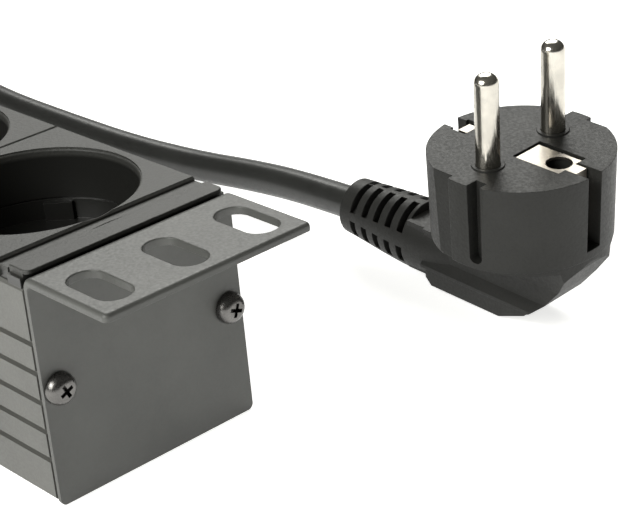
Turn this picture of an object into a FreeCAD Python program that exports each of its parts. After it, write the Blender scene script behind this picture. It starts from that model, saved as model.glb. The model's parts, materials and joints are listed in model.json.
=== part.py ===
"""A 19-inch rack power strip: nine earthed outlets in an aluminium channel, with a corded plug.

+X runs along the strip, -Y is the ribbed side, +Z is the side the outlets face.
The origin is the centre of the strip at the foot of its two end brackets. Lengths are in millimetres.
"""
import FreeCAD, Part
import math
import os

import Sketcher

OUTLETS = 9
DIAGONAL = math.sqrt(0.5)

# Driving dimensions, one spreadsheet cell each.
DIMENSIONS = {
    # the 19-inch, one-unit envelope
    "overall_length": 482.6,
    "body_width": 44.4,
    "plate_height": 44.5,
    "flange_depth": 22.0,
    "sheet_thick": 1.5,
    # end brackets
    "bend_inner": 1.0,
    "plate_corner": 1.2,
    "flange_corner": 1.1,
    "slot_length": 13.9,
    "slot_width": 6.8,
    "slot_centre": 12.2,
    "slot_pitch": 15.875,
    "edge_round": 0.8,
    "slot_round": 0.25,
    "screw_offset": 19.05,
    "screw_height": 22.5,
    "screw_clear": 2.1,
    "cross_slit": 0.7,
    # bracket screws
    "head_radius": 3.0,
    "head_height": 2.4,
    "head_round": 2.0,
    "shank_radius": 1.7,
    "shank_length": 12.0,
    # aluminium channel
    "channel_foot": 0.7,
    "channel_wall": 1.6,
    "channel_top": 42.1,
    "channel_round": 0.5,
    "port_reach": 4.5,
    "port_half_height": 2.8,
    "port_radius": 1.75,
    "groove_first": 8.9,
    "groove_pitch": 5.7,
    "groove_half_width": 0.55,
    "groove_floor": 0.35,
    "groove_depth": 0.8,
    # socket modules
    "module_pitch": 42.4,
    "module_top": 45.3,
    "module_step": 43.9,
    "side_inset": 0.67,
    "module_left": 22.1,
    "module_right": 20.1,
    "tongue_length": 2.8,
    "tongue_drop": 0.8,
    "well_radius": 19.4,
    "well_depth": 14.6,
    "well_wall": 0.85,
    "well_floor": 2.2,
    "rim_radius": 19.85,
    "rim_drop": 0.3,
    "rim_round": 0.3,
    "seam_depth": 10.5,
    "seam_width": 0.35,
    "cap_round": 0.25,
    "joint_bevel": 0.45,
    "skirt_foot": 34.0,
    "skirt_thick": 1.1,
    "fit_gap": 0.1,
    "first_outlet": 28.9,
    # pins, ribs and earth clips of the outlet standard
    "pin_radius": 2.4,
    "pin_spread": 9.5,
    "pin_length": 19.0,
    "pin_hole_radius": 2.9,
    "key_width": 5.6,
    "key_radius": 18.3,
    "key_drop": 10.9,
    "clip_inner": 18.5,
    "clip_thick": 0.8,
    "clip_half_width": 1.5,
    "clip_bump": 1.3,
    "clip_top": 38.5,
    # pin shutters
    "shutter_half": 3.6,
    "shutter_reach": 12.9,
    "shutter_thick": 2.2,
    "shutter_gap": 0.15,
    "rail_thick": 1.2,
    "rail_travel": 11.0,
    # busbars and their carrier
    "carrier_half_width": 15.9,
    "carrier_floor": 2.2,
    "carrier_wall": 0.9,
    "carrier_height": 10.0,
    "earth_bus_height": 4.6,
    "bus_thick": 0.8,
    "earth_bus_half_width": 2.5,
    "live_bus_height": 7.4,
    "leaf_height": 22.0,
    "leaf_thick": 0.6,
    "leaf_half_length": 3.0,
    "pin_clearance": 0.1,
    # end inserts
    "insert_width": 3.85,
    "insert_overhang": 1.2,
    "insert_corner": 1.4,
    # cord entry
    "cord_radius": 3.65,
    "gland_height": 20.0,
    "gland_reach": 26.0,
    "neck_radius": 6.15,
    "nut_thick": 3.5,
    "terminal_hole": 1.5,
    "core_radius": 1.2,
    "barrel_radius": 1.7,
    "barrel_height": 1.75,
    # coil of spare cord
    "coil_x": -96.0,
    "coil_y": 84.0,
    "coil_radius": 40.0,
    "coil_half_width": 13.2,
    "coil_height": 15.2,
    # plug
    "plug_radius": 18.4,
    "plug_skirt": 17.8,
    "plug_back": 36.2,
    "grip_left": -21.5,
    "key_groove_depth": 3.0,
    "sleeve_drop": 29.1,
    "sleeve_first": -42.4,
    "sleeve_pitch": 3.6,
    "sleeve_slot": 1.7,
}


class Length:
    """A length that carries both its number and the spreadsheet formula it comes from."""

    def __init__(self, value, formula=None):
        self.value = float(value)
        self.formula = repr(float(value)) if formula is None else formula

    def _join(self, other, sign, value):
        return Length(value, "(" + self.formula + sign + as_length(other).formula + ")")

    def __add__(self, other):
        return self._join(other, " + ", self.value + as_length(other).value)

    def __sub__(self, other):
        return self._join(other, " - ", self.value - as_length(other).value)

    def __mul__(self, other):
        return self._join(other, " * ", self.value * as_length(other).value)

    def __truediv__(self, other):
        return self._join(other, " / ", self.value / as_length(other).value)

    def __radd__(self, other):
        return as_length(other) + self

    def __rsub__(self, other):
        return as_length(other) - self

    def __neg__(self):
        return as_length(0) - self


def as_length(amount):
    return amount if isinstance(amount, Length) else Length(amount)


document = FreeCAD.newDocument("rack_power_strip")
sheet = document.addObject("Spreadsheet::Sheet", "Sizes")
for number, (alias, amount) in enumerate(DIMENSIONS.items(), start=1):
    sheet.set("A" + str(number), alias)
    sheet.set("B" + str(number), str(amount))
    sheet.setAlias("B" + str(number), alias)
document.recompute()


def size(alias):
    return Length(sheet.get(alias), "Sizes." + alias)


def bind(feature, path, amount):
    feature.setExpression(path, as_length(amount).formula)


# ---- helpers for bodies and their features ----

X_AXIS, Y_AXIS, Z_AXIS = FreeCAD.Vector(1, 0, 0), FreeCAD.Vector(0, 1, 0), FreeCAD.Vector(0, 0, 1)
AXIS_TURNS = {"x": FreeCAD.Rotation(Y_AXIS, 90), "y": FreeCAD.Rotation(X_AXIS, -90), "z": FreeCAD.Rotation()}


def place(thing, position, rotation=None):
    """Ties an object's place to the spreadsheet."""
    if rotation is not None:
        thing.Placement.Rotation = rotation
    for axis, amount in zip("xyz", position):
        bind(thing, "Placement.Base." + axis, amount)


def turn_about_z(degrees):
    return FreeCAD.Rotation(Z_AXIS, degrees)


def new_body(label, position=(0, 0, 0), rotation=None):
    """An empty body with its own name and place."""
    body = document.addObject("PartDesign::Body", label)
    body.Label = label
    place(body, position, rotation)
    return body


def block(body, low, high, turn=0, about=0, cut=False):
    """A box from corner to corner, turned about an upright axis that stands at X = about."""
    feature = body.newObject("PartDesign::" + ("SubtractiveBox" if cut else "AdditiveBox"), "Block")
    for side, start, end in zip(("Length", "Width", "Height"), low, high):
        bind(feature, side, as_length(end) - start)
    along, across, height = (as_length(amount) for amount in low)
    cosine, sine = math.cos(math.radians(turn)), math.sin(math.radians(turn))
    corner = (along * cosine - across * sine + about, along * sine + across * cosine, height)
    place(feature, corner, turn_about_z(turn))
    feature.recompute()
    return feature


def rod(body, radius, start, length, axis="z", cut=False):
    """A round bar from its start point along one axis."""
    feature = body.newObject("PartDesign::" + ("SubtractiveCylinder" if cut else "AdditiveCylinder"), "Rod")
    bind(feature, "Radius", radius)
    bind(feature, "Height", length)
    place(feature, start, AXIS_TURNS[axis])
    feature.recompute()
    return feature


def origin_part(body, role):
    return next(part for part in body.Origin.OriginFeatures if part.Role == role)


def draw_outline(sketch, corners):
    """Closed straight lines through the corners, each corner tied to the spreadsheet."""
    corners = [(as_length(first), as_length(second)) for first, second in corners]
    points = [FreeCAD.Vector(first.value, second.value, 0) for first, second in corners]
    count = len(points)
    for index, point in enumerate(points):
        sketch.addGeometry(Part.LineSegment(point, points[(index + 1) % count]), False)
    for index in range(count):
        sketch.addConstraint(Sketcher.Constraint("Coincident", index, 2, (index + 1) % count, 1))
    for index, corner in enumerate(corners):
        for kind, amount in zip(("DistanceX", "DistanceY"), corner):
            number = sketch.addConstraint(Sketcher.Constraint(kind, -1, 1, index, 1, amount.value))
            sketch.setExpression("Constraints[" + str(number) + "]", amount.formula)
    sketch.recompute()


def body_sketch(body, plane, corners):
    sketch = body.newObject("Sketcher::SketchObject", "Outline")
    sketch.AttachmentSupport = [(origin_part(body, plane), "")]
    sketch.MapMode = "FlatFace"
    draw_outline(sketch, corners)
    return sketch


def pad(body, plane, corners, length):
    """An outline on one of the body's own planes, thickened equally to both sides."""
    feature = body.newObject("PartDesign::Pad", "Pad")
    feature.Profile = body_sketch(body, plane, corners)
    feature.SideType = "Symmetric"
    bind(feature, "Length", length)
    feature.recompute()
    return feature


def turned(body, corners):
    """An outline of distances along X and radii, turned about the body's X axis."""
    feature = body.newObject("PartDesign::Revolution", "Turned")
    feature.Profile = body_sketch(body, "XZ_Plane", corners)
    feature.ReferenceAxis = (origin_part(body, "X_Axis"), [""])
    feature.Angle = 360
    feature.recompute()
    return feature


def soften(body, radius, chosen, kind="Fillet"):
    """Rounds, or chamfers, the edges of the body so far for which chosen(edge) is true."""
    base = body.Tip
    names = ["Edge" + str(n) for n, edge in enumerate(base.Shape.Edges, start=1) if chosen(edge)]
    if not names:
        raise RuntimeError(body.Label + ": no edge to soften")
    feature = body.newObject("PartDesign::" + kind, kind)
    feature.Base = (base, names)
    bind(feature, "Radius" if kind == "Fillet" else "Size", radius)
    feature.recompute()
    return feature


def is_near(first, second):
    return abs(first - second) < 0.02


def runs_along(edge, axis):
    """True for a straight edge parallel to an axis."""
    if edge.Curve.TypeId != "Part::GeomLine":
        return False
    return abs(abs(edge.tangentAt(edge.FirstParameter).dot(axis)) - 1) < 1e-6


def middle(edge):
    return edge.CenterOfGravity


NODES = []


def keep(thing):
    """Adds a finished piece to those that are written out."""
    NODES.append(thing)
    return thing


def group(label, pieces):
    """Identical fasteners and the like, kept as separate solids under one name."""
    compound = document.addObject("Part::Compound", label)
    compound.Label = label
    compound.Links = pieces
    compound.recompute()
    return keep(compound)


# ---- places worked out from the driving dimensions ----

HALF_WIDTH = size("body_width") / 2
PLATE_FACE = size("overall_length") / 2 - size("flange_depth")
PLATE_BACK = PLATE_FACE - size("sheet_thick")
WALL_FACE = HALF_WIDTH - size("channel_wall")
CHANNEL_FLOOR = size("channel_foot") + size("channel_wall")
WELL_FLOOR = size("module_top") - size("well_depth")
FLOOR_UNDERSIDE = WELL_FLOOR - size("well_floor")
PIN_SHIFT = size("pin_spread") * DIAGONAL
CAP_HALF_WIDTH = HALF_WIDTH - size("side_inset")


def outlet_x(index):
    """The centre of an outlet, counted from the +X end."""
    return PLATE_FACE - size("first_outlet") - size("module_pitch") * index


CARRIER_END = outlet_x(0) + size("module_right")
CARRIER_START = outlet_x(OUTLETS - 1) - 18.7
BUS_START = CARRIER_START - 11.5
TERMINAL_X = CARRIER_START - 6.5


# ---- sheet-metal end brackets and their screws ----

def end_bracket(label, rotation, cord_hole=False):
    """A steel plate across the end whose top is bent outwards into a slotted flange."""
    body = new_body(label, rotation=rotation)
    top, sheet_thick = size("plate_height"), size("sheet_thick")
    tip = PLATE_FACE + size("flange_depth")
    corners = [(PLATE_BACK, 0), (PLATE_FACE, 0), (PLATE_FACE, top - sheet_thick),
               (tip, top - sheet_thick), (tip, top), (PLATE_BACK, top)]
    pad(body, "XZ_Plane", corners, size("body_width"))

    def on_bend(x, z):
        return lambda edge: (runs_along(edge, Y_AXIS) and is_near(middle(edge).x, x.value)
                             and is_near(middle(edge).z, z.value))

    soften(body, size("bend_inner"), on_bend(PLATE_FACE, top - sheet_thick))
    soften(body, size("bend_inner") + sheet_thick, on_bend(PLATE_BACK, top))
    soften(body, size("plate_corner"), lambda edge: runs_along(edge, X_AXIS) and is_near(middle(edge).z, 0))
    soften(body, size("flange_corner"),
           lambda edge: runs_along(edge, Z_AXIS) and is_near(middle(edge).x, tip.value))
    for row in (-1, 0, 1):
        slot(body, PLATE_FACE + size("slot_centre"), size("slot_pitch") * row)
    for side in (-1, 1):
        start = (PLATE_BACK - 1, size("screw_offset") * side, size("screw_height"))
        rod(body, size("screw_clear"), start, sheet_thick + 2, "x", cut=True)
    if cord_hole:
        start = (PLATE_BACK - 1, 0, size("gland_height"))
        rod(body, size("neck_radius") + 0.05, start, sheet_thick + 2, "x", cut=True)
    inset = 2.0

    def on_flange_rim(edge):
        """True along the flange's outer top edges, away from the slots and the bend."""
        spot = middle(edge)
        outside = abs(spot.y) > HALF_WIDTH.value - inset or spot.x > tip.value - inset
        return is_near(spot.z, top.value) and outside

    def on_slot_rim(edge):
        spot = middle(edge)
        inside = abs(spot.y) < HALF_WIDTH.value - inset and spot.x < tip.value - inset
        return is_near(spot.z, top.value) and inside and spot.x > PLATE_FACE.value + inset

    soften(body, size("slot_round"), on_slot_rim)
    soften(body, size("edge_round"), on_flange_rim)
    return keep(body)


def slot(body, x, y):
    """A slot through the flange, long along X."""
    foot, height = size("plate_height") - size("sheet_thick") - 1, size("sheet_thick") + 2
    radius = size("slot_width") / 2
    reach = size("slot_length") / 2 - radius
    block(body, (x - reach, y - radius, foot), (x + reach, y + radius, foot + height), cut=True)
    for end in (-1, 1):
        rod(body, radius, (x + reach * end, y, foot), height, cut=True)


def bracket_screws(label, rotation):
    """Two domed cross-slot screws through the end plate into the channel's screw ports."""
    head, height = size("head_radius"), size("head_height")
    profile = [(-size("shank_length"), 0), (-size("shank_length"), size("shank_radius") - 0.6),
               (-size("shank_length") + 0.8, size("shank_radius")), (0, size("shank_radius")), (0, head),
               (height, head), (height, 0)]
    screws = []
    for side, twist in ((-1, 25), (1, 70)):
        y = size("screw_offset") * side
        spot = PLATE_FACE if rotation.Angle < 1 else -PLATE_FACE
        body = new_body(label + "_" + ("near" if side < 0 else "far"), (spot, y, size("screw_height")),
                        rotation * FreeCAD.Rotation(X_AXIS, twist))
        turned(body, profile)
        soften(body, size("head_round"), lambda edge: is_near(middle(edge).x, height.value))
        half_wing, half_slit = head * 0.45, size("cross_slit") / 2
        for wing, slit in ((half_wing, half_slit), (half_slit, half_wing)):
            block(body, (height * 0.4, -wing, -slit), (height + 1, wing, slit), cut=True)
        screws.append(body)
    group(label, screws)


# ---- aluminium channel ----

def housing_profile():
    """A U-shaped extrusion with narrow grooves along both sides and a screw port inside each."""
    body = new_body("housing_profile")
    foot, top, bevel = size("channel_foot"), size("channel_top"), size("channel_round")
    side = [(HALF_WIDTH - bevel, foot), (HALF_WIDTH, foot + bevel)]
    for number in range(5):
        centre = size("groove_first") + size("groove_pitch") * number
        side.append((HALF_WIDTH, centre - size("groove_half_width")))
        side.append((HALF_WIDTH - size("groove_depth"), centre - size("groove_floor")))
        side.append((HALF_WIDTH - size("groove_depth"), centre + size("groove_floor")))
        side.append((HALF_WIDTH, centre + size("groove_half_width")))
    side += [(HALF_WIDTH, top - bevel), (HALF_WIDTH - bevel, top)]
    side += [(WALL_FACE, top), (WALL_FACE, CHANNEL_FLOOR)]
    corners = side + [(-across, height) for across, height in reversed(side)]
    pad(body, "YZ_Plane", corners, PLATE_BACK * 2)
    for hand in (-1, 1):
        inner, outer = (WALL_FACE - size("port_reach")) * hand, (WALL_FACE + 0.2) * hand
        near, far = (inner, outer) if hand > 0 else (outer, inner)
        low = size("screw_height") - size("port_half_height")
        high = size("screw_height") + size("port_half_height")
        block(body, (-PLATE_BACK, near, low), (PLATE_BACK, far, high))
        start = (-PLATE_BACK - 1, size("screw_offset") * hand, size("screw_height"))
        rod(body, size("port_radius"), start, PLATE_BACK * 2 + 2, "x", cut=True)
    rod(body, size("terminal_hole"), (CARRIER_END - 5, 0, size("channel_foot") + 0.5), 3, cut=True)
    return keep(body)


# ---- socket modules ----

def cap_slabs(body, left, right):
    """The stepped top of a module: a lip flush with the channel, and a narrower raised cap."""
    lip = (left, -HALF_WIDTH, size("channel_top")), (right, HALF_WIDTH, size("module_step"))
    cap = (left, -CAP_HALF_WIDTH, size("channel_top")), (right, CAP_HALF_WIDTH, size("module_top"))
    block(body, *lip)
    block(body, *cap)


def module_shell(label, index):
    """A module's stepped cap, side skirts, and the tongue and rebate that join it to the next one."""
    body = new_body(label, (outlet_x(index), 0, 0))
    left, right = -size("module_left"), size("module_right")
    cap_slabs(body, left, right)
    top, ledge = size("module_top"), size("module_top") - size("tongue_drop")
    soften(body, size("joint_bevel"), lambda edge: is_near(middle(edge).z, top.value)
           and is_near(middle(edge).x, right.value), "Chamfer")
    soften(body, size("cap_round"), lambda edge: is_near(middle(edge).z, top.value)
           and middle(edge).x < right.value - 2)
    rebate_end = left + size("tongue_length") + 0.3
    rebate_wall = CAP_HALF_WIDTH + size("fit_gap")
    foot = size("channel_top")
    block(body, (left - 1, -rebate_wall, foot - 1), (rebate_end, rebate_wall, ledge + 0.1), cut=True)
    block(body, (right - 1, -CAP_HALF_WIDTH, foot), (right + size("tongue_length"), CAP_HALF_WIDTH, ledge))
    next_well = size("well_radius") + size("well_wall") + 0.3
    rod(body, next_well, (size("module_pitch"), 0, foot - 1), top, cut=True)
    for side in (-1, 1):
        outer = (WALL_FACE - size("fit_gap")) * side
        inner = (WALL_FACE - size("fit_gap") - size("skirt_thick")) * side
        low, high = (inner, outer) if side > 0 else (outer, inner)
        block(body, (rebate_end + 0.2, low, size("skirt_foot")), (right - 0.2, high, foot + 0.5))
    return body


def socket_module(index):
    """One outlet: a round well with two guide ribs, slots for its earth clips, and two pin holes."""
    body = module_shell("socket_module_" + str(index + 1), index)
    top, radius = size("module_top"), size("well_radius")
    wall = radius + size("well_wall")
    rod(body, wall, (0, 0, FLOOR_UNDERSIDE), top - 0.9 - FLOOR_UNDERSIDE)
    pocket_reach = size("clip_inner") + size("clip_thick") + 0.5
    pocket_half = size("clip_half_width") + 1.0
    for turn in (45, 225):
        block(body, (radius - 0.4, -pocket_half - 1, FLOOR_UNDERSIDE),
              (pocket_reach + 0.9, pocket_half + 1, top - 3), turn=turn)
    rod(body, radius, (0, 0, WELL_FLOOR), size("well_depth") + 1, cut=True)
    rod(body, size("rim_radius"), (0, 0, top - size("rim_drop")), size("rim_drop") + 1, cut=True)
    soften(body, size("rim_round"), lambda edge: is_near(middle(edge).z, (top - size("rim_drop")).value)
           and edge.Curve.TypeId == "Part::GeomCircle" and is_near(edge.Curve.Radius, radius.value))
    seam = size("seam_width")
    rod(body, radius + seam, (0, 0, top - size("seam_depth")), seam, cut=True)
    key_half = size("key_width") / 2
    for turn in (135, 315):
        block(body, (size("key_radius"), -key_half, WELL_FLOOR - 0.5),
              (radius + 0.4, key_half, top - size("key_drop")), turn=turn)
    for turn in (45, 225):
        block(body, (size("clip_inner") - 2.0, -pocket_half, FLOOR_UNDERSIDE - 1),
              (pocket_reach, pocket_half, top - 5.2), turn=turn, cut=True)
    for side in (-1, 1):
        rod(body, size("pin_hole_radius"), (-PIN_SHIFT * side, PIN_SHIFT * side, FLOOR_UNDERSIDE - 1),
            size("well_floor") + 2, cut=True)
        rail(body, side)
    return keep(body)


def rail(body, side):
    """A guide under the well's floor that carries one end of the pin shutter."""
    gap, lip = size("shutter_gap"), size("rail_thick") * 0.6
    inner, outer = size("shutter_reach") + gap, size("shutter_reach") + gap + size("rail_thick")
    underside = FLOOR_UNDERSIDE - size("shutter_thick") - gap * 2
    low = -size("shutter_half") - gap * 2
    spans = [(inner, outer, underside - lip), (inner - 1.4, outer, underside - lip)]
    tops = [FLOOR_UNDERSIDE + 0.2, underside]
    for (near, far, foot), roof in zip(spans, tops):
        if side < 0:
            near, far = -far, -near
        block(body, (low, near, foot), (size("rail_travel"), far, roof), turn=45)


def pin_shutter(index):
    """A sliding bar with a ramped edge that covers both pin holes."""
    body = new_body("pin_shutter_" + str(index + 1), (outlet_x(index), 0, 0), turn_about_z(45))
    half, top = size("shutter_half"), FLOOR_UNDERSIDE - size("shutter_gap")
    foot = top - size("shutter_thick")
    corners = [(-half, foot), (half, foot), (half, top), (-0.6, top), (-half, foot + 0.6)]
    pad(body, "XZ_Plane", corners, size("shutter_reach") * 2)
    return keep(body)


# ---- busbars, earth clips and what carries them ----

def live_busbar(label, side):
    """A brass strip along the strip with a pair of spring leaves at every outlet."""
    body = new_body(label)
    foot = size("live_bus_height")
    top = foot + size("bus_thick")
    grip = size("pin_radius") + size("pin_clearance")
    inner, outer = PIN_SHIFT - grip - size("leaf_thick"), PIN_SHIFT + grip + size("leaf_thick")

    def across(near, far):
        return (near, far) if side > 0 else (-far, -near)

    low, high = across(inner, outer)
    block(body, (BUS_START, low, foot), (outlet_x(0) + 12, high, top))
    for index in range(OUTLETS):
        x = outlet_x(index) - PIN_SHIFT * side
        for near in (inner, outer - size("leaf_thick")):
            low, high = across(near, near + size("leaf_thick"))
            block(body, (x - size("leaf_half_length"), low, foot + 0.2),
                  (x + size("leaf_half_length"), high, size("leaf_height")))
    rod(body, size("terminal_hole"), (TERMINAL_X, PIN_SHIFT * side, foot - 1), 4, cut=True)
    return keep(body)


def earth_busbar():
    """The flat earth strip under the outlets."""
    body = new_body("earth_busbar")
    foot, half = size("earth_bus_height"), size("earth_bus_half_width")
    block(body, (BUS_START, -half, foot), (CARRIER_END - 1, half, foot + size("bus_thick")))
    for x in (TERMINAL_X, CARRIER_END - 5):
        rod(body, size("terminal_hole"), (x, 0, foot - 1), 4, cut=True)
    return keep(body)


def earth_clips():
    """One U-shaped spring per outlet, seated on the earth strip, with a bulge high on each leg."""
    foot = size("earth_bus_height") + size("bus_thick")
    thick, inner, bump, top = size("clip_thick"), size("clip_inner"), size("clip_bump"), size("clip_top")
    leg = [(inner + thick, foot), (inner + thick, top - 5.5), (inner + thick - bump, top - 2.8),
           (inner + thick, top), (inner, top), (inner - bump, top - 2.8), (inner, top - 5.5),
           (inner, foot + thick)]
    corners = leg + [(-along, height) for along, height in reversed(leg)]
    clips = []
    for index in range(OUTLETS):
        body = new_body("earth_clip_" + str(index + 1), (outlet_x(index), 0, 0), turn_about_z(45))
        pad(body, "XZ_Plane", corners, size("clip_half_width") * 2)
        clips.append(body)
    group("earth_clips", clips)


def busbar_carrier():
    """The insulating tray on the channel's floor."""
    body = new_body("busbar_carrier")
    half, wall = size("carrier_half_width"), size("carrier_wall")
    floor = CHANNEL_FLOOR + size("carrier_floor")
    top = CHANNEL_FLOOR + size("carrier_height")
    block(body, (CARRIER_START, -half, CHANNEL_FLOOR), (CARRIER_END, half, top))
    block(body, (CARRIER_START - 1, wall - half, floor), (CARRIER_END + 1, half - wall, top + 1), cut=True)
    rod(body, size("terminal_hole") + 0.4, (CARRIER_END - 5, 0, CHANNEL_FLOOR - 1), 5, cut=True)
    guide = size("earth_bus_half_width") + size("fit_gap")
    for low, high in ((-guide - 1, -guide), (guide, guide + 1)):
        block(body, (CARRIER_START, low, floor - 0.2), (CARRIER_START + 3, high, floor + 0.7))
    return keep(body)


def bus_insulator():
    """The strip that keeps the live busbars off the earth clips."""
    body = new_body("bus_insulator")
    foot = size("earth_bus_height") + size("bus_thick") + size("clip_thick")
    block(body, (CARRIER_START, -11, foot), (CARRIER_END - 9, 11, size("live_bus_height")))
    return keep(body)


# ---- end inserts ----

def end_insert(label, rotation):
    """A plastic strip that closes the gap between the last module and the bracket's bend."""
    body = new_body(label, rotation=rotation)
    right = PLATE_BACK - size("fit_gap")
    left = right - size("insert_width")
    cap_slabs(body, left, right)
    reach = right + size("insert_overhang")
    top, ledge = size("module_top"), size("plate_height") + 0.05
    block(body, (right - 0.5, -CAP_HALF_WIDTH, ledge), (reach, CAP_HALF_WIDTH, top))
    soften(body, size("insert_corner"),
           lambda edge: runs_along(edge, Z_AXIS) and is_near(middle(edge).x, reach.value))
    soften(body, size("cap_round"), lambda edge: is_near(middle(edge).z, top.value))
    for side in (-1, 1):
        outer = (WALL_FACE - size("fit_gap")) * side
        inner = (WALL_FACE - size("fit_gap") - size("skirt_thick")) * side
        low, high = (inner, outer) if side > 0 else (outer, inner)
        block(body, (left + 0.5, low, size("skirt_foot")), (right - 0.5, high, size("channel_top") + 0.5))
    block(body, (left + 1, -15, 30), (left + 2.2, 15, size("channel_top") + 0.5))
    return keep(body)


# ---- cord entry at the -X end ----

def cord_gland():
    """A ribbed strain-relief sleeve with a flange outside the plate and a threaded neck inside."""
    body = new_body("cord_gland", (-PLATE_FACE, 0, size("gland_height")), turn_about_z(180))
    bore, neck, reach = size("cord_radius") + 0.05, size("neck_radius"), size("gland_reach")
    outer = [(-7.5, bore), (reach, bore), (reach, bore + 1.4)]
    for number in range(4):
        start = reach - 3.5 - number * 4.6
        ring = bore + 1.5 + number * 0.45
        outer += [(start, ring), (start, ring - 0.9), (start - 1.6, ring - 0.9), (start - 1.6, ring + 0.2)]
    outer += [(2, neck + 1.6), (2, neck + 3), (0, neck + 3), (0, neck), (-7.5, neck)]
    turned(body, outer)
    return keep(body)


def gland_nut():
    """The hexagonal nut on the gland's neck."""
    body = new_body("gland_nut", (-PLATE_BACK, 0, size("gland_height")), AXIS_TURNS["x"])
    prism = body.newObject("PartDesign::AdditivePrism", "Hexagon")
    prism.Polygon = 6
    bind(prism, "Circumradius", size("neck_radius") + 3)
    bind(prism, "Height", size("nut_thick"))
    prism.recompute()
    rod(body, size("neck_radius") + 0.05, (0, 0, -1), size("nut_thick") + 2, cut=True)
    return keep(body)


CLAMP_NEAR, CLAMP_FAR = -PLATE_FACE + 9.5, -PLATE_FACE + 18.5


def cord_clamp():
    """A saddle on the channel's floor and a bar over it, drawn together by two screws."""
    centre, gap = size("gland_height"), 0.6
    saddle = new_body("clamp_saddle")
    block(saddle, (CLAMP_NEAR, -13, CHANNEL_FLOOR), (CLAMP_FAR, 13, centre - gap))
    bar = new_body("clamp_bar")
    block(bar, (CLAMP_NEAR + 0.5, -13, centre + gap), (CLAMP_FAR - 0.5, 13, centre + 5.5))
    for body, foot in ((saddle, centre - 12), (bar, centre)):
        rod(body, size("cord_radius"), (CLAMP_NEAR - 1, 0, centre), 12, "x", cut=True)
        for side in (-1, 1):
            rod(body, size("terminal_hole"), (CLAMP_NEAR + 4.5, 9 * side, foot), 20, cut=True)
        keep(body)
    screws = []
    for name, side in (("near", -1), ("far", 1)):
        spot = (CLAMP_NEAR + 4.5, 9 * side, centre + 5.5)
        screws.append(small_screw("clamp_screw_" + name, spot, 14))
    group("clamp_screws", screws)


def small_screw(label, spot, shank):
    """An upright M3 pan-head screw whose head sits on the given spot."""
    body = new_body(label, spot)
    rod(body, size("terminal_hole") - 0.05, (0, 0, -as_length(shank)), as_length(shank) + 0.5)
    rod(body, 2.8, (0, 0, 0), 1.9)
    soften(body, 0.8, lambda edge: is_near(middle(edge).z, 1.9))
    block(body, (-2.0, -0.35, 1.2), (2.0, 0.35, 3), cut=True)
    return body


def terminal_block():
    """The insulating block under the ends of the three busbars."""
    body = new_body("terminal_block")
    far = CARRIER_START - 0.2
    block(body, (BUS_START - 1, -15, CHANNEL_FLOOR), (far, 15, size("live_bus_height")))
    half = size("earth_bus_half_width") + 0.9
    block(body, (BUS_START - 2, -half, size("earth_bus_height")), (far + 1, half, 20), cut=True)
    for side in (-1, 0, 1):
        rod(body, size("terminal_hole"), (TERMINAL_X, PIN_SHIFT * side, CHANNEL_FLOOR + 0.5), 10, cut=True)
    return keep(body)


def terminals():
    """Crimped ring lugs on the busbar ends, held by one screw each, and the bonding screw."""
    lugs, screws = [], []
    levels = {-1: size("live_bus_height"), 0: size("earth_bus_height"), 1: size("live_bus_height")}
    for side, name in ((-1, "neutral"), (0, "earth"), (1, "line")):
        seat = levels[side] + size("bus_thick")
        lug = new_body("lug_" + name, (TERMINAL_X, PIN_SHIFT * side, seat))
        block(lug, (-6, -2.6, 0), (2.6, 2.6, 0.8))
        rod(lug, size("terminal_hole"), (0, 0, -1), 3, cut=True)
        rod(lug, size("barrel_radius"), (-9.5, 0, size("barrel_height")), 5, "x")
        rod(lug, size("core_radius"), (-10.5, 0, size("barrel_height")), 4, "x", cut=True)
        lugs.append(lug)
        screws.append(small_screw("terminal_screw_" + name, (TERMINAL_X, PIN_SHIFT * side, seat + 0.8), 3.2))
    group("ring_lugs", lugs)
    group("terminal_screws", screws)
    seat = size("earth_bus_height") + size("bus_thick")
    keep(small_screw("bonding_screw", (CARRIER_END - 5, 0, seat), 3.9))


# ---- cord and wires ----

def bent_path(points):
    """Straight runs joined by tangent arcs, each as large as its two runs allow, and their radii."""
    points = [FreeCAD.Vector(*point) for point in points]
    edges, radii, start = [], [], points[0]
    for before, corner, after in zip(points, points[1:], points[2:]):
        back, ahead = before - corner, after - corner
        half_turn = (math.pi - back.getAngle(ahead)) / 2
        reach = 0.45 * min(back.Length, ahead.Length)
        radius = reach / math.tan(half_turn)
        radii.append(radius)
        back.normalize()
        ahead.normalize()
        entry, leave = corner + back * reach, corner + ahead * reach
        inward = back + ahead
        inward.normalize()
        crown = corner + inward * (radius / math.cos(half_turn) - radius)
        edges.append(Part.LineSegment(start, entry).toShape())
        edges.append(Part.Arc(entry, crown, leave).toShape())
        start = leave
    edges.append(Part.LineSegment(start, points[-1]).toShape())
    return Part.Wire(edges), radii


def tube(label, points, radius):
    """A round solid along a bent path."""
    path, radii = bent_path(points)
    first = FreeCAD.Vector(*points[0])
    section = Part.Wire([Part.Circle(first, FreeCAD.Vector(*points[1]) - first, radius).toShape()])
    solid = path.makePipeShell([section], True, False)
    ratio = solid.Volume / (math.pi * radius ** 2 * path.Length)
    print(label, "length %.1f" % path.Length, "volume ratio %.4f" % ratio,
          "radii", " ".join("%.0f" % bend for bend in radii))
    feature = document.addObject("Part::Feature", label)
    feature.Label = label
    feature.Shape = solid
    return keep(feature)


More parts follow.
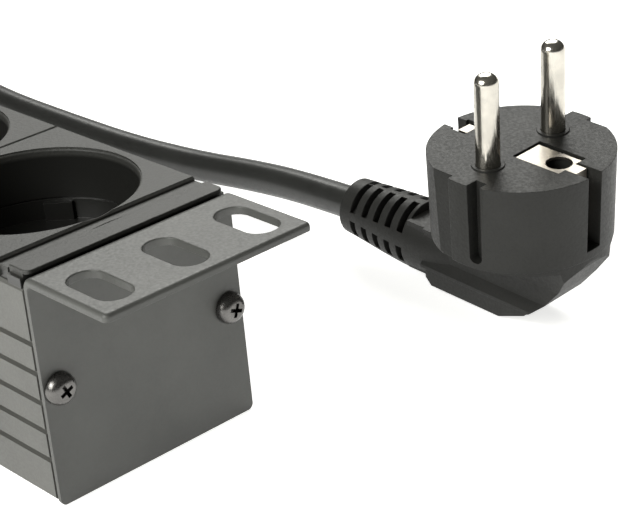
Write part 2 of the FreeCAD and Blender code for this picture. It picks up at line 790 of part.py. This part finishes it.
CORD_START = (-240.8, 0, 20)
TAIL_ROUTE = [CORD_START, (-258, 0, 20), (-284, 3.5, 14), (-309, 14, 7.8), (-328, 35, 4.4),
              (-335, 65, 3.9), (-323, 95, 3.8), (-296, 114, 3.8), (-262, 122.5, 3.8), (-222, 126, 3.8),
              (-180, 130, 3.8), (-145, 133.4, 3.8), (-110, 133.6, 3.8)]
LEAD_ROUTE = [(-73, 129, 11), (-48, 118.5, 8.6), (-20, 104.5, 4.7), (8, 92.5, 3.8), (30, 86, 3.8),
              (50, 83.6, 3.8), (76, 83.4, 3.8), (104, 83.8, 3.8), (128.5, 85, 5.0), (147, 85.5, 7.2),
              (166, 84.7, 9.4), (186.4, 82.7, 11.0)]


def cord():
    """The free cord: from the gland to a tied coil behind the strip, and from the coil to the plug."""
    radius = size("cord_radius").value
    tube("cord_tail", TAIL_ROUTE, radius)
    tube("cord_lead", LEAD_ROUTE, radius)
    body = new_body("cord_coil", (size("coil_x"), size("coil_y"), 0), FreeCAD.Rotation(Y_AXIS, -90))
    foot, height = 0.3, size("coil_height")
    inner = size("coil_radius") - size("coil_half_width")
    outer = size("coil_radius") + size("coil_half_width")
    profile = [(foot, inner), (height, inner), (height, outer), (foot, outer)]
    turned(body, profile)
    keep(body)


def coil_tie():
    """A strap round the bundle of turns."""
    body = new_body("coil_tie", (size("coil_x"), size("coil_y"), 0))
    inner = size("coil_radius") - size("coil_half_width")
    outer = size("coil_radius") + size("coil_half_width")
    top = size("coil_height")
    block(body, (-5, -outer - 1.6, 0), (5, -inner + 1.6, top + 1.4))
    block(body, (-6, -outer - 0.3, 0.2), (6, -inner + 0.3, top + 0.2), cut=True)
    return keep(body)


def inner_wires():
    """The sheath's end inside the strip and its three cores, each to its own lug."""
    sheath = new_body("sheath_end", (CORD_START[0], 0, size("gland_height")))
    inside = -PLATE_FACE.value + 20.0
    rod(sheath, size("cord_radius") - 0.02, (0, 0, 0), inside - CORD_START[0], "x")
    keep(sheath)
    terminal = TERMINAL_X.value - 9.5
    shift = PIN_SHIFT.value
    rise = size("bus_thick") + size("barrel_height")
    live, earth = size("live_bus_height") + rise, size("earth_bus_height") + rise
    wires = (("line_wire", 1, 21.4, live), ("neutral_wire", -1, 21.4, live), ("earth_wire", 0, 18.2, earth))
    for name, side, start_height, lug_height in wires:
        level = lug_height.value
        route = [(inside, 1.75 * side, start_height), (inside + 4, 1.75 * side, start_height),
                 (terminal - 7, shift * side * 0.8, level + 2.6), (terminal - 2.4, shift * side, level),
                 (terminal + 2, shift * side, level)]
        tube(name, route, size("core_radius").value - 0.02)


# ---- plug ----

PLUG_SPOT = (235.0, 82.0, 36.5)
PLUG_LEAN = FreeCAD.Rotation(0.8, 4.3, 2.6)


def loose_extrusion(name, rotation, corners, length):
    """An outline outside any body, thickened equally to both sides of its plane."""
    sketch = document.addObject("Sketcher::SketchObject", name + "_outline")
    sketch.Placement.Rotation = rotation
    draw_outline(sketch, corners)
    solid = document.addObject("Part::Extrusion", name)
    solid.Base = sketch
    solid.DirMode = "Normal"
    solid.Solid = True
    solid.Symmetric = True
    bind(solid, "LengthFwd", length)
    solid.recompute()
    return solid


UPRIGHT_XZ = FreeCAD.Rotation(X_AXIS, 90)
UPRIGHT_YZ = FreeCAD.Rotation(FreeCAD.Vector(1, 1, 1), 120)


def boolean(kind, name, pieces):
    """A fuse or common of several solids, or the first one cut by the second."""
    result = document.addObject("Part::" + kind, name)
    if kind == "Cut":
        result.Base, result.Tool = pieces
    else:
        result.Shapes = pieces
    result.recompute()
    return result


def solid_box(name, low, high):
    solid = document.addObject("Part::Box", name)
    for side, start, end in zip(("Length", "Width", "Height"), low, high):
        bind(solid, side, as_length(end) - start)
    place(solid, low)
    solid.recompute()
    return solid


def solid_cone(name, radius_low, radius_high, start, length, axis="z"):
    solid = document.addObject("Part::Cone", name)
    bind(solid, "Radius1", radius_low)
    bind(solid, "Radius2", radius_high)
    bind(solid, "Height", length)
    place(solid, start, AXIS_TURNS[axis])
    solid.recompute()
    return solid


def plug_back():
    """The angled back: a rounded sloping underside that ends in a narrow grip along the cord."""
    skirt, back, radius = size("plug_skirt"), size("plug_back"), size("plug_radius")
    left = size("grip_left")
    side_view = loose_extrusion("back_side_view", UPRIGHT_XZ, [
        (-16.5, -skirt + 1), (radius, -skirt + 1), (radius - 0.9, -skirt - 1.7), (14, -back + 11.3),
        (10.3, -back + 6.8), (5.2, -back + 2.7), (-1.5, -back), (left + 1.5, -back), (left, -back + 1.6),
        (left, -skirt - 5.4), (-17.5, -skirt - 5.4)], radius * 2)
    end_view = loose_extrusion("back_end_view", UPRIGHT_YZ, [
        (-radius, -skirt + 1), (-radius + 0.4, -skirt - 0.2), (-7.5, -skirt - 1.2), (-5.6, -back + 11),
        (-5.6, -back + 6.9), (-7.3, -back + 5.3), (-7.3, -back + 4.6), (-5.9, -back + 3.6), (-5.9, -back),
        (5.9, -back), (5.9, -back + 3.6), (7.3, -back + 4.6), (7.3, -back + 5.3), (5.6, -back + 6.9),
        (5.6, -back + 11), (7.5, -skirt - 1.2), (radius - 0.4, -skirt - 0.2),
        (radius, -skirt + 1)], radius * 4)
    rounding = solid_cone("back_rounding", radius - 0.9, radius - 0.35, (0, 0, -back - 1), back + 1)
    grip = solid_box("back_grip", (left - 1, -7.4, -back - 1), (0, 7.4, -skirt + 1))
    inside = boolean("MultiFuse", "back_limits", [rounding, grip])
    return boolean("MultiCommon", "back", [side_view, end_view, inside])


def strain_relief():
    """The moulded sleeve round the cord: four oval sections, tapering away from the plug."""
    sections = []
    shapes = ((-14, 5.4, 7.0), (-27, 7.1, 7.7), (-36, 6.7, 7.1), (-46.5, 5.9, 6.2))
    for number, (along, wide, tall) in enumerate(shapes):
        oval = document.addObject("Part::Ellipse", "relief_section_" + str(number))
        oval.MajorRadius = tall
        oval.MinorRadius = wide
        oval.Placement = FreeCAD.Placement(FreeCAD.Vector(along, 0, -size("sleeve_drop").value),
                                           FreeCAD.Rotation(FreeCAD.Vector(0, 1, 0), 90))
        oval.recompute()
        sections.append(oval)
    sleeve = document.addObject("Part::Loft", "relief_sleeve")
    sleeve.Sections = sections
    sleeve.Solid = True
    sleeve.Ruled = False
    sleeve.recompute()
    return sleeve


def about_sleeve(degrees):
    """A turn about the sleeve's own centre line."""
    drop = FreeCAD.Vector(0, 0, -size("sleeve_drop").value)
    return FreeCAD.Placement(drop, FreeCAD.Rotation(X_AXIS, degrees))


def relief_slots():
    """Five rings of four short slots through the sleeve, which let it bend."""
    slots = []
    half, inner = size("sleeve_slot") / 2, size("cord_radius") + 0.5
    for ring in range(5):
        along = size("sleeve_first") + size("sleeve_pitch") * ring
        for lean, half_reach in ((-35, 3.6), (35, 3.6), (-108, 2.0), (108, 2.0)):
            cutter = document.addObject("Part::Box", "relief_slot")
            for edge, amount in (("Length", size("sleeve_slot")), ("Width", half_reach * 2), ("Height", 8)):
                bind(cutter, edge, amount)
            corner = FreeCAD.Vector(along.value - half.value, -half_reach, inner.value)
            cutter.Placement = about_sleeve(lean).multiply(FreeCAD.Placement(corner, FreeCAD.Rotation()))
            slots.append(cutter)
    return slots


def key_cutters(side):
    """What is cut from one flank: a round-ended groove, and a flat beside each of its two guides."""
    skirt, radius = size("plug_skirt"), size("plug_radius")
    edge, depth = radius + 1, size("key_groove_depth")

    def flank(name, start, end, inner, foot):
        """A box along one flank; the far flank is the near one turned half a turn."""
        if side > 0:
            return solid_box(name, (-end, inner, foot), (-start, edge, 1))
        return solid_box(name, (start, -edge, foot), (end, -inner, 1))

    foot = -skirt + 2.4
    groove = flank("key_groove", 2.4, 5.0, radius - depth, foot)
    start = radius - depth if side > 0 else -edge
    groove_end = solid_cone("key_groove_end", 1.3, 1.3, (3.7 * -side, start, foot), depth + 1, "y")
    flat = flank("key_flat", -12.5, -2.3, radius - 1.5, -skirt - 1)
    facet = flank("key_facet", 4.9, 9.0, radius - 1.0, -skirt - 1)
    return [groove, groove_end, flat, facet]


def plug_body():
    """The moulded body: round skirt, angled back and strain relief in one piece."""
    radius, skirt = size("plug_radius"), size("plug_skirt")
    shell = solid_cone("plug_skirt_cone", radius - 0.4, radius, (0, 0, -skirt), skirt)
    bosses = [solid_cone("pin_boss", 3.4, 3.2, (0, size("pin_spread") * side, -1), 1.25) for side in (-1, 1)]
    neck = solid_box("relief_neck", (-26.5, -5.6, -size("plug_back") + 2), (-14, 5.6, -23.2))
    whole = boolean("MultiFuse", "plug_outer", [shell, plug_back(), strain_relief(), neck] + bosses)
    cuts = relief_slots() + key_cutters(-1) + key_cutters(1)
    cuts.append(solid_box("neck_flat", (-26.3, -9, -skirt - 5.4), (-17.5, 9, -skirt - 0.1)))
    for side in (-1, 1):
        cuts.append(solid_box("clip_slot", (13.9 if side > 0 else -19.5, -1.9, -16),
                              (19.5 if side > 0 else -13.9, 1.9, 1)))
        cuts.append(solid_cone("pin_seat", 2.45, 2.45, (0, size("pin_spread") * side, -9), 12))
    cuts.append(solid_box("hole_recess", (1.2, -3.8, -1.1), (12.6, 4.2, 1)))
    cuts.append(solid_box("tab_recess", (12.5, -1.9, -1.1), (16, 1.9, 1)))
    cuts.append(solid_box("rear_recess", (-16, -2.6, -1.1), (-12.3, 2.6, 1)))
    cuts.append(solid_cone("earth_hole", 3.0, 3.0, (9.5, 0, -14), 15))
    tools = boolean("MultiFuse", "plug_cuts", cuts)
    body = boolean("Cut", "plug_body", [whole, tools])
    body.Label = "plug_body"
    body.Placement = FreeCAD.Placement(FreeCAD.Vector(*PLUG_SPOT), PLUG_LEAN)
    return keep(body)


def plug_pins():
    """Two solid round-ended pins."""
    pins = []
    for name, side in (("near", -1), ("far", 1)):
        body = new_body("plug_pin_" + name, PLUG_SPOT, PLUG_LEAN)
        radius = size("pin_radius")
        rod(body, radius, (0, size("pin_spread") * side, -8.9), size("pin_length") + 8.9)
        soften(body, 1.9, lambda edge: is_near(middle(edge).z, size("pin_length").value))
        pins.append(body)
    group("plug_pins", pins)


def plug_earth_clips():
    """The earth contacts in the side slots; the one on +X carries the ringed plate over the earth hole."""
    clips = []
    for name, side in (("front", 1), ("rear", -1)):
        body = new_body("plug_clip_" + name, PLUG_SPOT, PLUG_LEAN)
        near, far = (14.2, 14.9) if side > 0 else (-14.9, -14.2)
        block(body, (near, -1.6, -15.8), (far, 1.6, -0.3))
        if side > 0:
            block(body, (1.6, -3.4, -0.9), (12.2, 3.4, -0.3))
            block(body, (12, -1.6, -0.9), (far, 1.6, -0.3))
            rod(body, 2.6, (9.5, 0, -2), 3, cut=True)
        else:
            block(body, (near, -1.6, -0.9), (-12.5, 1.6, -0.3))
        clips.append(body)
    group("plug_earth_clips", clips)


# ---- the whole strip ----

HALF_TURN, NO_TURN = turn_about_z(180), FreeCAD.Rotation()
housing_profile()
end_bracket("end_bracket_right", NO_TURN)
end_bracket("end_bracket_left", HALF_TURN, cord_hole=True)
bracket_screws("bracket_screws_right", NO_TURN)
bracket_screws("bracket_screws_left", HALF_TURN)
end_insert("end_insert_right", NO_TURN)
end_insert("end_insert_left", HALF_TURN)
for outlet in range(OUTLETS):
    socket_module(outlet)
    pin_shutter(outlet)
keep(module_shell("cord_entry_module", OUTLETS))
live_busbar("line_busbar", 1)
live_busbar("neutral_busbar", -1)
earth_busbar()
earth_clips()
busbar_carrier()
bus_insulator()
cord_gland()
gland_nut()
cord_clamp()
terminal_block()
terminals()
inner_wires()
cord()
coil_tie()
plug_body()
plug_pins()
plug_earth_clips()

document.recompute()
for thing in document.Objects:
    if "Invalid" in thing.State or "Error" in thing.State:
        raise RuntimeError(thing.Label + " failed to build")

os.makedirs("parts", exist_ok=True)
for node in NODES:
    if node.Shape.isNull() or not node.Shape.isValid():
        raise RuntimeError(node.Label + " has no valid shape")
    node.Shape.exportStep("parts/" + node.Label + ".step")
print(len(NODES), "nodes written")
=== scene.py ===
"""The looks of the rack power strip: camera, cord, finishes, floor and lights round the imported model.

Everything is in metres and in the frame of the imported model: +X runs along the strip, and +Z is the
side that the outlets face.
"""

import json
import math

import bmesh
import bpy
from mathutils import Matrix, Vector


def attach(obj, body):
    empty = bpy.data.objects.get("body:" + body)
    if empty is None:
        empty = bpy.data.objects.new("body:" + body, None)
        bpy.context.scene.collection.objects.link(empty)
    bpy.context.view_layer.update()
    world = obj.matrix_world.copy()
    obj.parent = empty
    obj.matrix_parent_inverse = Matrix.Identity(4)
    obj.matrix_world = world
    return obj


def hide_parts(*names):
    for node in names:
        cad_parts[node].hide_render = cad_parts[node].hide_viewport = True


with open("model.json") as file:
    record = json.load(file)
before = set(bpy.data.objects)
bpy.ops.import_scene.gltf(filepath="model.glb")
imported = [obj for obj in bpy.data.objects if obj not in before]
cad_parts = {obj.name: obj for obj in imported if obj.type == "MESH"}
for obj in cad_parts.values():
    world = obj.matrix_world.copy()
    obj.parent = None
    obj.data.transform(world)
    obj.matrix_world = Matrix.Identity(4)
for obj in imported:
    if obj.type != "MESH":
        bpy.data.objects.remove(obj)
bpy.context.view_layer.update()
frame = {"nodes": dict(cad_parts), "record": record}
scene = bpy.context.scene
STRIP = "strip"


# ---- camera ----

def make_camera(spot, right, up, lens):
    """A camera at a spot, held by its own right and up directions; the lens is in millimetres."""
    data = bpy.data.cameras.new("camera")
    data.lens = lens
    data.sensor_width = 36
    data.sensor_fit = "HORIZONTAL"
    data.clip_start, data.clip_end = 0.01, 20
    camera = bpy.data.objects.new("camera", data)
    right, up = Vector(right).normalized(), Vector(up).normalized()
    back = right.cross(up).normalized()
    up = back.cross(right)
    camera.matrix_world = Matrix.Translation(spot) @ Matrix((right, up, back)).transposed().to_4x4()
    scene.collection.objects.link(camera)
    scene.camera = camera


make_camera(spot=(0.4719, -0.1743, 0.1801), right=(0.6777, 0.7306, -0.0838),
            up=(-0.2609, 0.3454, 0.9015), lens=109.43)


# ---- the cord: from the gland, round behind the strip into a tied coil, and on to the plug ----

CORD_RADIUS = 0.00365
CORD_TAIL = [(-0.2408, 0, 0.020), (-0.258, 0, 0.020), (-0.284, 0.0035, 0.014), (-0.309, 0.014, 0.0078),
             (-0.328, 0.035, 0.0044), (-0.335, 0.065, 0.0039), (-0.323, 0.095, 0.0038),
             (-0.296, 0.114, 0.0038), (-0.262, 0.1225, 0.0038), (-0.222, 0.126, 0.0038),
             (-0.180, 0.130, 0.0038), (-0.145, 0.1334, 0.0038)]
CORD_LEAD = [(-0.048, 0.1185, 0.0086), (-0.020, 0.1045, 0.0047), (0.008, 0.0925, 0.0038),
             (0.030, 0.086, 0.0038), (0.050, 0.0836, 0.0038), (0.076, 0.0834, 0.0038),
             (0.104, 0.0838, 0.0038), (0.1285, 0.085, 0.0050), (0.147, 0.0855, 0.0072),
             (0.166, 0.0847, 0.0094), (0.1864, 0.0827, 0.0110)]
COIL_CENTRE = (-0.096, 0.084)
COIL_RADIUS = 0.040
COIL_TURNS = 5
COIL_PITCH = 0.0074
COIL_FLOOR = 0.0046
POINTS_PER_TURN = 16


def coil_points():
    """Half the turns run inwards on the floor, and half run outwards on top of them."""
    half_way = COIL_TURNS / 2
    outer = COIL_RADIUS + COIL_PITCH * half_way / 2
    swell = 1 / math.cos(math.pi / POINTS_PER_TURN)
    climb_start, climb_turns = half_way - 0.15, 0.3
    points = []
    for step in range(POINTS_PER_TURN * COIL_TURNS + 2):
        turns = step / POINTS_PER_TURN
        wound = turns if turns < half_way else COIL_TURNS - min(turns, COIL_TURNS)
        radius = (outer - COIL_PITCH * wound) * swell
        climb = min(max((turns - climb_start) / climb_turns, 0), 1)
        angle = math.radians(90) - turns * math.tau
        points.append((COIL_CENTRE[0] + radius * math.cos(angle), COIL_CENTRE[1] + radius * math.sin(angle),
                       COIL_FLOOR + COIL_PITCH * climb))
    return points


def nurbs(name, points, radius):
    """A round cord along one open NURBS line; its thickness comes from each point's own radius."""
    data = bpy.data.curves.new(name, "CURVE")
    data.dimensions = "3D"
    data.bevel_depth = 1
    data.bevel_resolution = 6
    data.use_fill_caps = True
    data.resolution_u = 10
    line = data.splines.new("NURBS")
    line.points.add(len(points) - 1)
    for spot, point in zip(line.points, points):
        spot.co = (*point, 1)
        spot.radius = radius
    line.order_u = 3
    line.use_endpoint_u = True
    cord = bpy.data.objects.new(name, data)
    scene.collection.objects.link(cord)
    return cord


def tie_band():
    """A hook-and-loop band round the near side of the coil; its end laps over its start on top."""
    turns_across, columns = 3, 6
    thick, width, corner, lap, step = 0.0009, 0.016, 0.0038, 0.013, 0.0007
    clearance, tip = 0.00015, 0.003
    half_across = COIL_PITCH * (turns_across - 1) / 2 + CORD_RADIUS
    half_up = COIL_PITCH / 2 + CORD_RADIUS
    centre_y = COIL_CENTRE[1] - COIL_RADIUS + COIL_PITCH * 0.25
    centre_z = COIL_FLOOR + COIL_PITCH / 2
    sides = ((half_across, half_up, 0), (half_up, half_across, 90), (half_across, half_up, 180),
             (half_up, half_across, 270), (half_across, half_up, 360))
    line = []
    for reach, rise, degrees in sides:
        turn = Matrix.Rotation(math.radians(-degrees), 2)
        flat, arc = reach - corner, corner * math.pi / 2
        start = 0 if degrees == 0 else -flat
        end = lap if degrees == 360 else flat
        for index in range(int((end - start) / step) + 1):
            line.append((turn @ Vector((start + index * step, rise)), turn @ Vector((0, 1))))
        if degrees < 360:
            for index in range(1, int(arc / step)):
                angle = index * step / corner
                out = Vector((math.sin(angle), math.cos(angle)))
                line.append((turn @ (Vector((flat, rise - corner)) + out * corner), turn @ out))
    lapped = len(line) - int(lap / step) * 2    # from here on the band rises over its own start
    mesh = bmesh.new()
    rows = []
    for number, (spot, out) in enumerate(line):
        lift = thick * 1.15 * min(max((number - lapped) / 10, 0), 1)
        spot = spot + out * (clearance + lift)
        taper = min((len(line) - number) * step / tip, 1)
        half = width / 2 * (0.55 + 0.45 * math.sqrt(1 - (1 - taper) ** 2))
        row = []
        for across in range(columns + 1):
            x = COIL_CENTRE[0] + half * (across * 2 / columns - 1)
            row.append(mesh.verts.new((x, centre_y + spot.x, centre_z + spot.y)))
        rows.append(row)
    for first, second in zip(rows, rows[1:]):
        for column in range(columns):
            mesh.faces.new((first[column], first[column + 1], second[column + 1], second[column]))
    data = bpy.data.meshes.new("tie_band")
    mesh.to_mesh(data)
    mesh.free()
    for face in data.polygons:
        face.use_smooth = True
    band = bpy.data.objects.new("tie_band", data)
    scene.collection.objects.link(band)
    solid = band.modifiers.new("thickness", "SOLIDIFY")
    solid.thickness = thick
    solid.offset = -1
    rim = band.modifiers.new("rim", "BEVEL")
    rim.width = 0.00015
    rim.segments = 2
    return band


band = tie_band()
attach(band, STRIP)
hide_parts("coil_tie")

cord = nurbs("cord", CORD_TAIL + coil_points() + CORD_LEAD, CORD_RADIUS)
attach(cord, STRIP)
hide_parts("cord_tail", "cord_coil", "cord_lead")


# ---- finishes ----

class Finish:
    """A node material built up from a Principled surface in the object's own coordinates."""

    def __init__(self, name, colour, roughness, **sockets):
        self.material = bpy.data.materials.new(name)
        self.material.use_nodes = True
        self.material.diffuse_color = (*colour, 1)
        self.nodes = self.material.node_tree.nodes
        self.links = self.material.node_tree.links
        self.surface = self.nodes["Principled BSDF"]
        self.place = self.nodes.new("ShaderNodeTexCoord").outputs["Object"]
        self.surface.inputs["Base Color"].default_value = (*colour, 1)
        self.surface.inputs["Roughness"].default_value = roughness
        for socket, value in sockets.items():
            self.surface.inputs[socket.replace("_", " ")].default_value = value
        self.height = None

    def height_mask(self, low, high):
        """A signal that climbs from 0 at the lower height above the floor to 1 at the higher."""
        split = self.nodes.new("ShaderNodeSeparateXYZ")
        self.links.new(self.place, split.inputs[0])
        return self.spread(split.outputs["Z"], 0, 1, low, high)

    def times(self, first, second):
        node = self.nodes.new("ShaderNodeMath")
        node.operation = "MULTIPLY"
        self.links.new(first, node.inputs[0])
        self.links.new(second, node.inputs[1])
        return node.outputs[0]

    def noise(self, size, detail, stretch=(1, 1, 1)):
        """Noise whose grains are about size metres wide, and longer along the stretched axes."""
        mapping = self.nodes.new("ShaderNodeMapping")
        mapping.inputs["Scale"].default_value = [1 / (size * along) for along in stretch]
        self.links.new(self.place, mapping.inputs["Vector"])
        texture = self.nodes.new("ShaderNodeTexNoise")
        texture.inputs["Scale"].default_value = 1
        texture.inputs["Detail"].default_value = detail
        texture.inputs["Roughness"].default_value = 0.5
        self.links.new(mapping.outputs["Vector"], texture.inputs["Vector"])
        return texture.outputs["Fac"]

    def spread(self, signal, low, high, start=0.35, end=0.65):
        """A signal remapped so that start to end becomes low to high."""
        node = self.nodes.new("ShaderNodeMapRange")
        for socket, value in (("From Min", start), ("From Max", end), ("To Min", low), ("To Max", high)):
            node.inputs[socket].default_value = value
        self.links.new(signal, node.inputs["Value"])
        return node.outputs["Result"]

    def blend(self, signal, low, high):
        """One colour where the signal is 0 and another where it is 1; either may be a node's output."""
        node = self.nodes.new("ShaderNodeMix")
        node.data_type = "RGBA"
        self.links.new(signal, node.inputs["Factor"])
        for socket, colour in (("A", low), ("B", high)):
            target = next(slot for slot in node.inputs if slot.name == socket and slot.type == "RGBA")
            if isinstance(colour, bpy.types.NodeSocket):
                self.links.new(colour, target)
            else:
                target.default_value = (*colour, 1)
        return next(slot for slot in node.outputs if slot.type == "RGBA")

    def tint(self, output):
        self.links.new(output, self.surface.inputs["Base Color"])

    def polish(self, output):
        self.links.new(output, self.surface.inputs["Roughness"])

    def bump(self, signal, depth):
        node = self.nodes.new("ShaderNodeBump")
        node.inputs["Distance"].default_value = depth
        node.inputs["Strength"].default_value = 1
        self.links.new(signal, node.inputs["Height"])
        if self.height is not None:
            self.links.new(self.height, node.inputs["Normal"])
        self.height = node.outputs["Normal"]
        self.links.new(self.height, self.surface.inputs["Normal"])

    def round_edges(self, radius):
        node = self.nodes.new("ShaderNodeBevel")
        node.samples = 4
        node.inputs["Radius"].default_value = radius
        self.height = node.outputs["Normal"]
        self.links.new(self.height, self.surface.inputs["Normal"])


def scaled(colour, factor):
    """A colour made darker or lighter, no channel above 1."""
    return tuple(min(channel * factor, 1) for channel in colour)


def moulded(name, colour, roughness, grain, depth, edge=0.0002, **sockets):
    """Plastic or paint: an even tone with slight clouding, and a fine grain in height and gloss."""
    finish = Finish(name, colour, roughness, **sockets)
    if edge:
        finish.round_edges(edge)
    cloud = finish.spread(finish.noise(0.02, 4), 0, 1)
    finish.tint(finish.blend(cloud, scaled(colour, 0.88), scaled(colour, 1.12)))
    fine = finish.noise(grain, 2)
    finish.polish(finish.spread(fine, roughness - 0.06, roughness + 0.06))
    finish.bump(fine, depth)
    return finish.material


def module_plastic(name, colour, well_shade_colour):
    """Grained on the raised caps; smooth and glossier down in the wells, where a darker colour is painted
    in as shade.
    """
    grain_foot, grain_full = 0.0434, 0.0440
    finish = Finish(name, colour, 0.5)
    finish.round_edges(0.00015)
    raised = finish.height_mask(grain_foot, grain_full)
    cloud = finish.spread(finish.noise(0.02, 4), 0, 1)
    top = finish.blend(cloud, scaled(colour, 0.88), scaled(colour, 1.12))
    # Below the caps the colour turns to the darker painted shade of the wells; the smooth gloss there is
    # the plastic's own.
    finish.tint(finish.blend(raised, well_shade_colour, top))
    grain = finish.noise(0.0007, 2)
    finish.polish(finish.spread(raised, 0.3, 0.52, 0, 1))
    finish.bump(finish.times(grain, raised), 0.00009)
    return finish.material


def metal(name, colour, roughness, streak, depth, stretch=(1, 1, 1)):
    """Bare or plated metal with fine drawing marks and slight clouding."""
    finish = Finish(name, colour, roughness, Metallic=1.0)
    finish.round_edges(0.0001)
    cloud = finish.spread(finish.noise(0.004, 4), 0, 1)
    finish.tint(finish.blend(cloud, scaled(colour, 0.85), scaled(colour, 1.05)))
    marks = finish.noise(streak, 3, stretch)
    finish.polish(finish.spread(marks, max(roughness - 0.07, 0.03), roughness + 0.09))
    finish.bump(marks, depth)
    return finish.material


FINISHES = {
    "channel_paint": moulded("channel_paint", (0.094, 0.094, 0.087), 0.5, 0.00035, 0.00001, edge=0),
    "bracket_paint": moulded("bracket_paint", (0.075, 0.076, 0.071), 0.45, 0.0006, 0.000014),
    # cap_plastic's second colour is painted shade for the wells.
    "cap_plastic": module_plastic("cap_plastic", (0.035, 0.035, 0.032), (0.013, 0.013, 0.012)),
    "shutter_plastic": moulded("shutter_plastic", (0.03, 0.03, 0.03), 0.45, 0.0006, 0.00001),
    "inner_plastic": moulded("inner_plastic", (0.55, 0.53, 0.48), 0.5, 0.0006, 0.00001),
    "gland_plastic": moulded("gland_plastic", (0.025, 0.025, 0.025), 0.5, 0.0006, 0.00001),
    "cord_sheath": moulded("cord_sheath", (0.0215, 0.022, 0.0205), 0.36, 0.0009, 0.000006, edge=0),
    "tie_strap": moulded("tie_strap", (0.02, 0.02, 0.022), 0.7, 0.0003, 0.0001),
    "plug_plastic": moulded("plug_plastic", (0.0185, 0.0185, 0.017), 0.5, 0.0006, 0.00004,
                            Specular_IOR_Level=0.28),
    "wire_brown": moulded("wire_brown", (0.12, 0.045, 0.02), 0.4, 0.0006, 0.00001, edge=0),
    "wire_blue": moulded("wire_blue", (0.03, 0.09, 0.35), 0.4, 0.0006, 0.00001, edge=0),
    "wire_green": moulded("wire_green", (0.08, 0.3, 0.05), 0.4, 0.0006, 0.00001, edge=0),
    "screw_metal": metal("screw_metal", (0.16, 0.155, 0.15), 0.3, 0.0002, 0.000004),
    "zinc_metal": metal("zinc_metal", (0.6, 0.62, 0.64), 0.3, 0.0002, 0.000004),
    "brass": metal("brass", (0.78, 0.55, 0.22), 0.28, 0.0002, 0.000004),
    "nickel_spring": metal("nickel_spring", (0.42, 0.388, 0.345), 0.36, 0.0002, 0.000004),
    "nickel_pin": metal("nickel_pin", (0.62, 0.59, 0.53), 0.18, 0.0003, 0.000003,
                        stretch=(0.4, 0.4, 6)),
}

for row in frame["record"]["subparts"]:
    node = frame["nodes"][row["node"]]
    node.data.materials.clear()
    node.data.materials.append(FINISHES[row["material_slot"]])
cord.data.materials.append(FINISHES["cord_sheath"])
band.data.materials.append(FINISHES["tie_strap"])


# ---- floor and lights ----

def make_floor(half):
    """A plain square floor; its faint glow keeps it white under the soft lights."""
    corners = [(-half, -half, 0), (half, -half, 0), (half, half, 0), (-half, half, 0)]
    mesh = bpy.data.meshes.new("floor")
    mesh.from_pydata(corners, [], [(0, 1, 2, 3)])
    floor = bpy.data.objects.new("floor", mesh)
    scene.collection.objects.link(floor)
    finish = Finish("floor_white", (0.92, 0.92, 0.92), 0.75)
    cloud = finish.spread(finish.noise(0.3, 2), 0, 1)
    finish.tint(finish.blend(cloud, (0.91, 0.91, 0.91), (0.93, 0.93, 0.93)))
    finish.surface.inputs["Emission Color"].default_value = (1, 1, 0.985, 1)
    finish.surface.inputs["Emission Strength"].default_value = 0.75
    mesh.materials.append(finish.material)


def soft_light(name, spot, aim, width, height, power):
    """A softbox at a spot, turned to face what it lights."""
    data = bpy.data.lights.new(name, "AREA")
    data.shape = "RECTANGLE"
    data.size, data.size_y = width, height
    data.energy = power
    data.color = (1, 1, 0.96)
    light = bpy.data.objects.new(name, data)
    light.location = spot
    light.rotation_euler = (Vector(aim) - Vector(spot)).to_track_quat("-Z", "Y").to_euler()
    scene.collection.objects.link(light)


def make_studio(dark, overhead, front):
    """Surroundings that are dark low down, brighter overhead, and brighter again towards -Y."""
    world = bpy.data.worlds.new("studio")
    world.use_nodes = True
    nodes, links = world.node_tree.nodes, world.node_tree.links
    split = nodes.new("ShaderNodeSeparateXYZ")
    links.new(nodes.new("ShaderNodeTexCoord").outputs["Generated"], split.inputs[0])
    level = None
    for axis, start, end, low, high in (("Z", -0.1, 0.75, dark, overhead), ("Y", 0.1, -0.9, 0, front)):
        ramp = nodes.new("ShaderNodeMapRange")
        for socket, value in (("From Min", start), ("From Max", end), ("To Min", low), ("To Max", high)):
            ramp.inputs[socket].default_value = value
        links.new(split.outputs[axis], ramp.inputs["Value"])
        if level is None:
            level = ramp.outputs["Result"]
        else:
            total = nodes.new("ShaderNodeMath")
            links.new(level, total.inputs[0])
            links.new(ramp.outputs["Result"], total.inputs[1])
            level = total.outputs[0]
    links.new(level, nodes["Background"].inputs["Strength"])
    nodes["Background"].inputs["Color"].default_value = (0.05, 0.05, 0.046, 1)
    scene.world = world


make_floor(4)
make_studio(dark=0.7, overhead=2.3, front=0.85)
scene.view_settings.view_transform = "Standard"
soft_light("back_softbox", (-0.9, 1.0, 1.3), (0.1, 0.05, 0), 1.2, 1.0, 24)
soft_light("front_softbox", (0.1, -1.3, 0.9), (0.15, 0, 0.02), 1.0, 0.8, 27)

bpy.context.view_layer.update()
